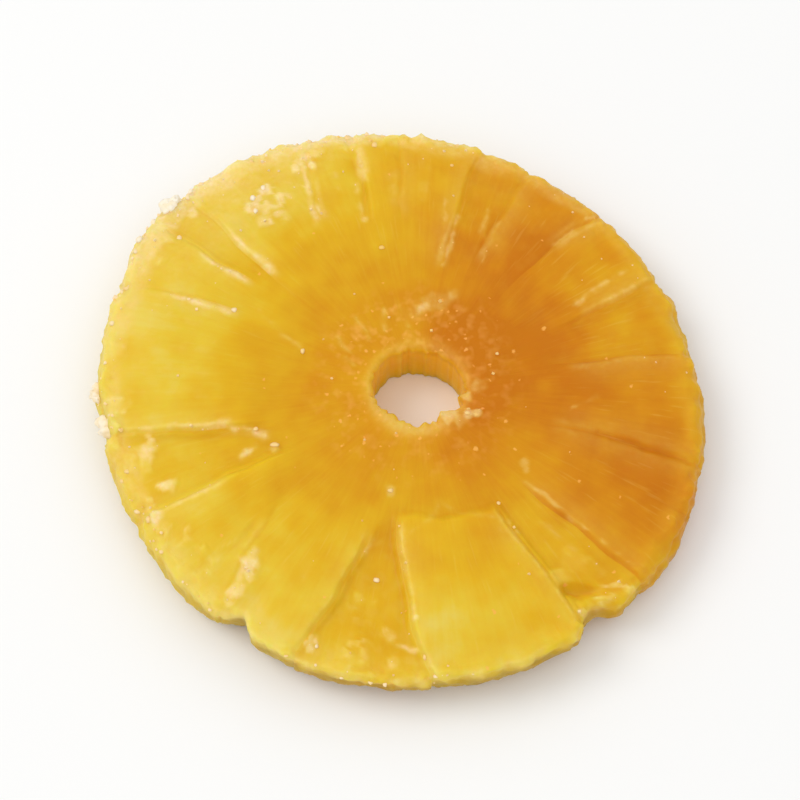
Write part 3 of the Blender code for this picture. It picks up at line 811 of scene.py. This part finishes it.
def candied_flesh(core_axis):
    material, shader, tree, add = new_material("candied_flesh")
    amber = add("ShaderNodeAttribute", attribute_name="amber").outputs["Fac"]
    frost = add("ShaderNodeAttribute", attribute_name="frost").outputs["Fac"]
    core = add("ShaderNodeAttribute", attribute_name="core").outputs["Fac"]
    place = add("ShaderNodeTexCoord").outputs["Object"]

    # streaks that run out from the core: noise on the direction, stretched along the radius
    from_axis = add("ShaderNodeVectorMath", {0: place, 1: core_axis}, operation="SUBTRACT").outputs[0]
    flat = add("ShaderNodeVectorMath", {0: from_axis, 1: (1, 1, 0)}, operation="MULTIPLY").outputs[0]
    direction = add("ShaderNodeVectorMath", {0: flat}, operation="NORMALIZE").outputs[0]
    away = add("ShaderNodeVectorMath", {0: flat}, operation="LENGTH").outputs["Value"]
    spread = add("ShaderNodeVectorMath", {0: direction, "Scale": 42.0}, operation="SCALE").outputs[0]
    outward = add("ShaderNodeMath", {0: away, 1: 160.0}, operation="MULTIPLY").outputs[0]
    lift = add("ShaderNodeCombineXYZ", {"Z": outward}).outputs[0]
    fan = add("ShaderNodeVectorMath", {0: spread, 1: lift}, operation="ADD").outputs[0]
    streaks = add("ShaderNodeTexNoise", {"Vector": fan, "Scale": 1.0, "Detail": 3.0}).outputs["Fac"]

    cloud = add("ShaderNodeTexNoise", {"Vector": place, "Scale": 330.0, "Detail": 4.0}).outputs["Fac"]
    grain = add("ShaderNodeTexNoise", {"Vector": place, "Scale": 1500.0, "Detail": 2.0}).outputs["Fac"]

    # short pale fibres, along the same fan
    finer = add("ShaderNodeVectorMath", {0: fan, 1: (1.5, 1.5, 1.6)}, operation="MULTIPLY").outputs[0]
    fibres = add("ShaderNodeTexNoise", {"Vector": finer, "Scale": 1.0, "Detail": 1.0}).outputs["Fac"]
    found = add("ShaderNodeMapRange", {"Value": fibres, "From Min": 0.58, "From Max": 0.74, "To Max": 0.17}).outputs[0]
    outer = add("ShaderNodeMapRange", {"Value": away, "From Min": 14 * MM, "From Max": 24 * MM}).outputs[0]
    fibre = add("ShaderNodeMath", {0: found, 1: outer}, operation="MULTIPLY").outputs[0]

    # pale specks: a few of the cells have one
    bend = add("ShaderNodeTexNoise", {"Vector": place, "Scale": 1800.0}).outputs["Color"]
    bent = add("ShaderNodeVectorMath", {0: bend, 1: (0.0007, 0.0007, 0.0), 2: place}, operation="MULTIPLY_ADD").outputs[0]
    cells = add("ShaderNodeTexVoronoi", {"Vector": bent, "Scale": 1000.0})
    facts = add("ShaderNodeSeparateColor", {"Color": cells.outputs["Color"]})
    wide = add("ShaderNodeMath", {0: facts.outputs["Green"], 1: -0.2, 2: cells.outputs["Distance"]}, operation="MULTIPLY_ADD")
    spot = add("ShaderNodeMapRange", {"Value": wide.outputs[0], "From Min": 0.15, "From Max": 0.0}).outputs[0]
    likely = add("ShaderNodeMapRange", {"Value": core, "To Min": 0.975, "To Max": 0.45}).outputs[0]
    picked = add("ShaderNodeMath", {0: facts.outputs["Red"], 1: likely}, operation="GREATER_THAN").outputs[0]
    specks = add("ShaderNodeMath", {0: spot, 1: picked}, operation="MULTIPLY").outputs[0]
    speck = add("ShaderNodeMath", {0: specks, 1: 0.75}, operation="MULTIPLY").outputs[0]
    soft_grain = add("ShaderNodeTexNoise", {"Vector": place, "Scale": 850.0, "Detail": 1.0}).outputs["Fac"]
    pith = add("ShaderNodeMapRange", {"Value": soft_grain, "From Min": 0.5, "From Max": 0.75, "To Max": 0.5}).outputs[0]
    pith_share = add("ShaderNodeMath", {0: pith, 1: core}, operation="MULTIPLY").outputs[0]

    streak_share = add("ShaderNodeMapRange", {"Value": streaks, "To Min": -0.09, "To Max": 0.09}).outputs[0]
    cloud_share = add("ShaderNodeMapRange", {"Value": cloud, "To Min": -0.14, "To Max": 0.14}).outputs[0]
    uneven = add("ShaderNodeMath", {0: streak_share, 1: cloud_share}, operation="ADD").outputs[0]
    depth = add("ShaderNodeMath", {0: amber, 1: uneven}, operation="ADD", use_clamp=True).outputs[0]
    tones = add("ShaderNodeValToRGB", {"Fac": depth})
    set_stops(tones, FLESH_COLOURS)

    frosted = add("ShaderNodeMix", data_type="RGBA")
    patchy = add("ShaderNodeMapRange", {"Value": grain, "From Min": 0.3, "From Max": 0.7, "To Min": 0.7}).outputs[0]
    crusted = add("ShaderNodeMath", {0: frost, 1: patchy}, operation="MULTIPLY").outputs[0]
    dotted = add("ShaderNodeMath", {0: speck, 1: pith_share}, operation="MAXIMUM").outputs[0]
    speckled = add("ShaderNodeMix", data_type="RGBA")
    tree.links.new(dotted, speckled.inputs["Factor"])
    tree.links.new(tones.outputs["Color"], speckled.inputs["A"])
    speckled.inputs["B"].default_value = (*SPECK_COLOUR, 1.0)
    pale = add("ShaderNodeMath", {0: crusted, 1: fibre}, operation="MAXIMUM", use_clamp=True).outputs[0]
    tree.links.new(pale, frosted.inputs["Factor"])
    tree.links.new(speckled.outputs["Result"], frosted.inputs["A"])
    crust_tones = add("ShaderNodeValToRGB", {"Fac": pale})
    set_stops(crust_tones, CRUST_COLOURS)
    tree.links.new(crust_tones.outputs["Color"], frosted.inputs["B"])

    # painted shade: the rim's side is darker and more amber below its upper edge, most where it was trimmed; round the
    # hole, a painted glow of the light that comes through the flesh
    deep = add("ShaderNodeAttribute", attribute_name="deep").outputs["Fac"]
    hollow = add("ShaderNodeAttribute", attribute_name="hollow").outputs["Fac"]
    wall_shaded = add("ShaderNodeMix", data_type="RGBA", blend_type="MULTIPLY")
    tree.links.new(deep, wall_shaded.inputs["Factor"])
    tree.links.new(frosted.outputs["Result"], wall_shaded.inputs["A"])
    wall_shaded.inputs["B"].default_value = (*WALL_SHADE_TINT, 1.0)
    hole_glowed = add("ShaderNodeMix", data_type="RGBA")
    hole_glow_share = add("ShaderNodeMath", {0: hollow, 1: 0.85}, operation="MULTIPLY").outputs[0]
    tree.links.new(hole_glow_share, hole_glowed.inputs["Factor"])
    tree.links.new(wall_shaded.outputs["Result"], hole_glowed.inputs["A"])
    hole_glowed.inputs["B"].default_value = (*HOLE_GLOW_PAINT, 1.0)
    tree.links.new(hole_glowed.outputs["Result"], shader.inputs["Base Color"])

    roughness = add("ShaderNodeMapRange", {"Value": frost, "To Min": 0.38, "To Max": 0.60}).outputs[0]
    tree.links.new(roughness, shader.inputs["Roughness"])

    rim = add("ShaderNodeAttribute", attribute_name="rim").outputs["Fac"]
    grit = add("ShaderNodeTexNoise", {"Vector": place, "Scale": 1300.0, "Detail": 2.0}).outputs["Fac"]
    rim_grit = add("ShaderNodeMath", {0: rim, 1: 4.0}, operation="MULTIPLY").outputs[0]
    even = add("ShaderNodeMath", {0: grain, 1: streaks}, operation="ADD").outputs[0]
    height = add("ShaderNodeMath", {0: grit, 1: rim_grit, 2: even}, operation="MULTIPLY_ADD").outputs[0]
    bumped = add("ShaderNodeBump", {"Height": height, "Strength": 0.35, "Distance": 0.0001})
    tree.links.new(bumped.outputs["Normal"], shader.inputs["Normal"])

    shader.inputs["Subsurface Weight"].default_value = 0.7
    shader.inputs["Subsurface Radius"].default_value = (1.0, 0.6, 0.15)
    shader.inputs["Subsurface Scale"].default_value = 6.0 * MM
    shader.inputs["Specular IOR Level"].default_value = 0.10
    shader.inputs["Coat Weight"].default_value = 0.04
    shader.inputs["Coat Roughness"].default_value = 0.2
    return material


def sugar_white():
    material, shader, tree, add = new_material("sugar")
    place = add("ShaderNodeTexCoord").outputs["Object"]
    glaze = add("ShaderNodeAttribute", attribute_name="glaze").outputs["Fac"]
    cloud = add("ShaderNodeTexNoise", {"Vector": place, "Scale": 900.0, "Detail": 2.0}).outputs["Fac"]
    tones = add("ShaderNodeValToRGB", {"Fac": cloud})
    set_stops(tones, [(0.35, (0.97, 0.84, 0.58)), (0.6, (0.98, 0.91, 0.76))])
    glazed = add("ShaderNodeMix", data_type="RGBA")
    tree.links.new(glaze, glazed.inputs["Factor"])
    tree.links.new(tones.outputs["Color"], glazed.inputs["A"])
    glazed.inputs["B"].default_value = (*SYRUP_COLOUR, 1.0)
    tree.links.new(glazed.outputs["Result"], shader.inputs["Base Color"])
    shader.inputs["Roughness"].default_value = 0.45
    return material


def pale_floor():
    material, shader, tree, add = new_material("pale_floor")
    place = add("ShaderNodeTexCoord").outputs["Object"]
    cloud = add("ShaderNodeTexNoise", {"Vector": place, "Scale": 8.0}).outputs["Fac"]
    tones = add("ShaderNodeValToRGB", {"Fac": cloud})
    tones.color_ramp.elements[0].color = (0.93, 0.93, 0.92, 1.0)
    tones.color_ramp.elements[1].color = (0.95, 0.95, 0.94, 1.0)
    tree.links.new(tones.outputs["Color"], shader.inputs["Base Color"])
    shader.inputs["Roughness"].default_value = 0.7
    shader.inputs["Specular IOR Level"].default_value = 0.2
    return material


# Loose sugar

GRAINS = 230
GRAIN_SIZE = (0.10 * MM, 0.34 * MM)
GRAINS_AT_ONCE = 400
GLAZE = (0.9, 0.55)  # how much syrup has soaked the sugar near the core and near the rim
GLAZE_TURNS = (20 * MM, 36 * MM)


def grain_weight(_place, normal, crust, grainy):
    return (crust**2 + 0.03 * grainy + 0.006) * mix(0.15, 1.0, ramp(normal.z, 0.2, 0.6))


def sampled_places(mesh, count, dice, weight):
    """Places on the upper side of the slice with their normals, chosen by area and by this weight."""
    frost = mesh.attributes["frost"].data
    core = mesh.attributes["core"].data
    weights = []
    for face in mesh.polygons:
        crust = sum(frost[index].value for index in face.vertices) / len(face.vertices)
        grainy = sum(core[index].value for index in face.vertices) / len(face.vertices)
        shown = face.normal.z > 0.1
        weights.append(face.area * weight(face.center, face.normal, crust, grainy) if shown else 0.0)
    chosen = dice.choices(range(len(weights)), weights=weights, k=count)
    for index in chosen:
        face = mesh.polygons[index]
        a, b, c = (mesh.vertices[corner].co for corner in face.vertices[:3])
        one, two = dice.random(), dice.random()
        if one + two > 1:
            one, two = 1 - one, 1 - two
        yield a + (b - a) * one + (c - a) * two, face.normal.copy()


def turned_any_way(dice):
    axis = Vector((dice.gauss(0, 1), dice.gauss(0, 1), dice.gauss(0, 1))).normalized()
    return Matrix.Rotation(dice.uniform(0, math.pi), 4, axis)


def add_crystal(bm, place, size, dice):
    """A boxy sugar crystal, turned any way."""
    sides = [size * dice.uniform(0.7, 1.3) for _ in range(3)]
    matrix = Matrix.Translation(place) @ turned_any_way(dice) @ Matrix.Diagonal((*sides, 1.0))
    return bmesh.ops.create_cube(bm, size=1.0, matrix=matrix)["verts"]


def joined(batches, name, axis):
    """One mesh of several small ones. Its sugar is glazed with syrup near the core."""
    whole = bmesh.new()
    for bm in batches:
        part = bpy.data.meshes.new(name)
        bm.to_mesh(part)
        bm.free()
        whole.from_mesh(part)
        bpy.data.meshes.remove(part)
    glaze = whole.verts.layers.float.new("glaze")
    for vert in whole.verts:
        vert[glaze] = mix(*GLAZE, ramp(math.hypot(vert.co.x - axis.x, vert.co.y - axis.y), *GLAZE_TURNS))
    mesh = bpy.data.meshes.new(name)
    whole.to_mesh(mesh)
    whole.free()
    return mesh


def sugar_grains(mesh, axis):
    dice = random.Random(11)
    batches = []
    for number, (place, normal) in enumerate(sampled_places(mesh, GRAINS, dice, grain_weight)):
        if number % GRAINS_AT_ONCE == 0:
            batches.append(bmesh.new())
        size = mix(*GRAIN_SIZE, dice.random() ** 2.5)
        add_crystal(batches[-1], place + normal * size * dice.uniform(-0.25, 0.1), size, dice)
    return joined(batches, "sugar_grains", axis)


# Crumbs of sugar that sit on the slice: direction, distance from the core's axis and size in millimetres, and
# how much syrup has soaked them, from 0 to 1
Crumb = namedtuple("Crumb", "degrees away size glaze")
RIM_CRUMB_HEIGHT = 6.5 * MM
CRUMBS = [
    Crumb(136, 42.0, 0.7, 0.15),
    Crumb(139.4, 42.6, 1.3, 0.0),
    Crumb(140.4, 43.1, 1.6, 0.0),
    Crumb(141.4, 42.7, 1.4, 0.0),
    Crumb(140.6, 42.2, 1.3, 0.1),
    Crumb(128.6, 35.0, 0.7, 0.2),
    Crumb(130.2, 33.2, 0.6, 0.3),
    Crumb(125.2, 35.6, 0.6, 0.3),
    Crumb(144, 43.4, 0.9, 0.15),
    Crumb(147, 43.2, 1.2, 0.15),
    Crumb(149.5, 42.6, 0.8, 0.15),
    Crumb(152, 42.0, 0.6, 0.5),
    Crumb(160, 41.2, 0.5, 0.5),
    Crumb(167, 40.8, 0.6, 0.5),
    Crumb(175, 40.5, 0.6, 0.5),
    Crumb(178.5, 41.3, 1.2, 0.2),
    Crumb(179.3, 41.4, 1.6, 0.2),
    Crumb(180.1, 41.4, 1.7, 0.2),
    Crumb(180.9, 41.3, 1.3, 0.2),
    Crumb(185.4, 41.3, 1.2, 0.2),
    Crumb(186.2, 41.4, 1.6, 0.2),
    Crumb(187.0, 41.5, 1.8, 0.2),
    Crumb(187.9, 41.3, 1.5, 0.2),
    Crumb(214, 39.5, 0.5, 0.5),
    Crumb(222, 39.5, 0.4, 0.5),
    Crumb(155.5, 26.3, 0.7, 0.5),
    Crumb(161, 15.8, 0.6, 0.8),
    Crumb(174, 11.2, 0.4, 0.8),
    Crumb(196, 21.6, 0.5, 0.8),
    Crumb(204, 20.0, 0.8, 0.8),
    Crumb(227, 10.1, 0.3, 0.8),
    Crumb(246, 7.1, 0.3, 0.8),
    Crumb(258.6, 26.7, 0.8, 0.5),
    Crumb(256, 14.8, 0.5, 0.8),
    Crumb(251, 39.2, 0.4, 0.5),
    Crumb(256, 40.2, 0.5, 0.5),
    Crumb(261, 40.4, 0.6, 0.5),
    Crumb(264, 40.2, 0.6, 0.5),
    Crumb(273, 38.6, 0.5, 0.5),
    Crumb(250, 37.0, 0.6, 0.5),
    Crumb(302, 18.9, 0.4, 0.8),
    Crumb(329, 7.3, 0.5, 0.8),
    Crumb(25, 11.2, 0.4, 0.8),
    Crumb(82, 32.6, 0.4, 0.9),
    Crumb(103.4, 20.6, 0.6, 1.0),
    Crumb(122, 15.7, 0.3, 0.8),
]
RIM_CRUMBS = 70
RIM_CRUMB_SIZE = (0.25, 0.7)
CRYSTAL_SIZE = 0.2 * MM


def add_crumb(bm, place, crumb, dice):
    """A lumpy crumb of caked sugar, flattened onto the slice. A larger one has a few crystals on it."""
    size = crumb.size * MM
    detail = 1 if crumb.size < 0.35 else 2 if crumb.size < 1.1 else 3
    blob = bmesh.ops.create_icosphere(
        bm, subdivisions=detail, radius=0.5 * size, matrix=Matrix.Translation(place)
    )
    flat = 0.7 if crumb.glaze < 0.25 else 0.35
    squash = Vector((dice.uniform(0.8, 1.4), dice.uniform(0.8, 1.4), flat * dice.uniform(0.8, 1.2)))
    made = blob["verts"]
    for vert in made:
        out = vert.co - place
        uneven = 1 + 0.45 * noise.noise(vert.co / (0.4 * size)) + 0.15 * noise.noise(vert.co / (0.18 * size))
        vert.co = place + uneven * Vector((out.x * squash.x, out.y * squash.y, out.z * squash.z))
    if crumb.size > 0.9:
        for _ in range(round(2 * crumb.size)):
            off = Vector((dice.gauss(0, 0.3), dice.gauss(0, 0.3), dice.gauss(0.1, 0.2))) * size
            made += add_crystal(bm, place + off, CRYSTAL_SIZE * dice.uniform(0.6, 1.3), dice)
    glaze = bm.verts.layers.float["glaze"]
    for vert in made:
        vert[glaze] = min(max(crumb.glaze, 0.0), 1.0)


def rim_weight(place, normal, _crust, _grainy):
    """Crumbs cling to the rounded edge of the rim, most of all on one side."""
    degrees = math.degrees(math.atan2(place.y, place.x))
    liked = mix(0.05, 1.0, ramp(math.cos(math.radians(degrees - 170)), -0.3, 0.7))
    liked += 0.7 * bump(turned(degrees - 266), 30)
    return liked * bump(normal.z - 0.7, 0.12) if place.length > 36 * MM else 0.0


def sugar_crumbs(mesh, axis):
    """Crumbs of sugar on the face, each where its direction and distance say, and more along the rim."""
    dice = random.Random(5)
    tree = BVHTree.FromPolygons([v.co for v in mesh.vertices], [p.vertices for p in mesh.polygons])
    bm = bmesh.new()
    bm.verts.layers.float.new("glaze")
    for crumb in CRUMBS:
        over = axis + Vector((*polar_place(crumb.degrees, crumb.away), 50 * MM))
        place, normal, _, _ = tree.ray_cast(over, Vector((0, 0, -1)))
        if place is None:  # it sticks to the rim's side
            place, normal, _, _ = tree.find_nearest(Vector((over.x, over.y, RIM_CRUMB_HEIGHT)))
        add_crumb(bm, place + normal * 0.05 * crumb.size * MM, crumb, dice)
    for place, normal in sampled_places(mesh, RIM_CRUMBS, dice, rim_weight):
        size = mix(*RIM_CRUMB_SIZE, dice.random() ** 2)
        add_crumb(bm, place + normal * 0.1 * size * MM, Crumb(0, 0, size, dice.uniform(0.5, 1.0)), dice)
    made = bpy.data.meshes.new("sugar_crumbs")
    bm.to_mesh(made)
    bm.free()
    made.shade_smooth()
    return made


# Set


def add_floor():
    bm = bmesh.new()
    bmesh.ops.create_grid(bm, x_segments=1, y_segments=1, size=3.0)
    mesh = bpy.data.meshes.new("floor")
    bm.to_mesh(mesh)
    bm.free()
    floor = new_object("floor", mesh, pale_floor())


def look_from(target, azimuth, elevation, distance):
    """A place that far from the target, and the turn that faces it."""
    a, e = math.radians(azimuth), math.radians(elevation)
    back = Vector((math.sin(a) * math.cos(e), -math.cos(a) * math.cos(e), math.sin(e)))
    return target + back * distance, (-back).to_track_quat("-Z", "Y").to_euler()


def add_camera():
    low, high = cad_box
    target = (Vector(low) + Vector(high)) / 2
    camera = bpy.data.objects.new("camera", bpy.data.cameras.new("camera"))
    camera.data.lens = 120
    camera.data.clip_start = 0.01
    camera.location, camera.rotation_euler = look_from(target, 0.0, 66.0, 0.345)
    bpy.context.scene.collection.objects.link(camera)
    bpy.context.scene.camera = camera


def add_light(name, azimuth, elevation, distance, size, power):
    data = bpy.data.lights.new(name, "AREA")
    data.shape = "DISK"
    data.size = size
    data.energy = power
    light = bpy.data.objects.new(name, data)
    light.location, light.rotation_euler = look_from(Vector((0, 0, 0)), azimuth, elevation, distance)
    bpy.context.scene.collection.objects.link(light)


SKY = 1.15  # the studio's ceiling is brighter than its walls


def add_world():
    world = bpy.data.worlds.new("studio")
    world.use_nodes = True
    nodes, links = world.node_tree.nodes, world.node_tree.links
    place = nodes.new("ShaderNodeTexCoord")
    split = nodes.new("ShaderNodeSeparateXYZ")
    overhead = nodes.new("ShaderNodeValToRGB")
    set_stops(overhead, [(0.0, (0.36, 0.36, 0.36)), (0.35, (0.50, 0.50, 0.50)), (1.0, (1.0, 1.0, 1.0))])
    links.new(place.outputs["Generated"], split.inputs["Vector"])
    links.new(split.outputs["Z"], overhead.inputs["Fac"])
    links.new(overhead.outputs["Color"], nodes["Background"].inputs["Color"])
    nodes["Background"].inputs["Strength"].default_value = SKY
    bpy.context.scene.world = world
    bpy.context.scene.view_settings.view_transform = "Standard"


def main():
    mesh, axis = ring_mesh()
    ring = new_object("candied_ring", mesh, candied_flesh(axis))
    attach(ring, "root")
    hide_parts("pineapple_ring")
    white = sugar_white()
    for loose in (sugar_grains(mesh, axis), sugar_crumbs(mesh, axis)):
        piece = new_object(loose.name, loose, white)
        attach(piece, "root")
    add_floor()
    add_world()
    add_light("key", -105.0, 50.0, 1.6, 0.9, 6.4)
    add_camera()


main()
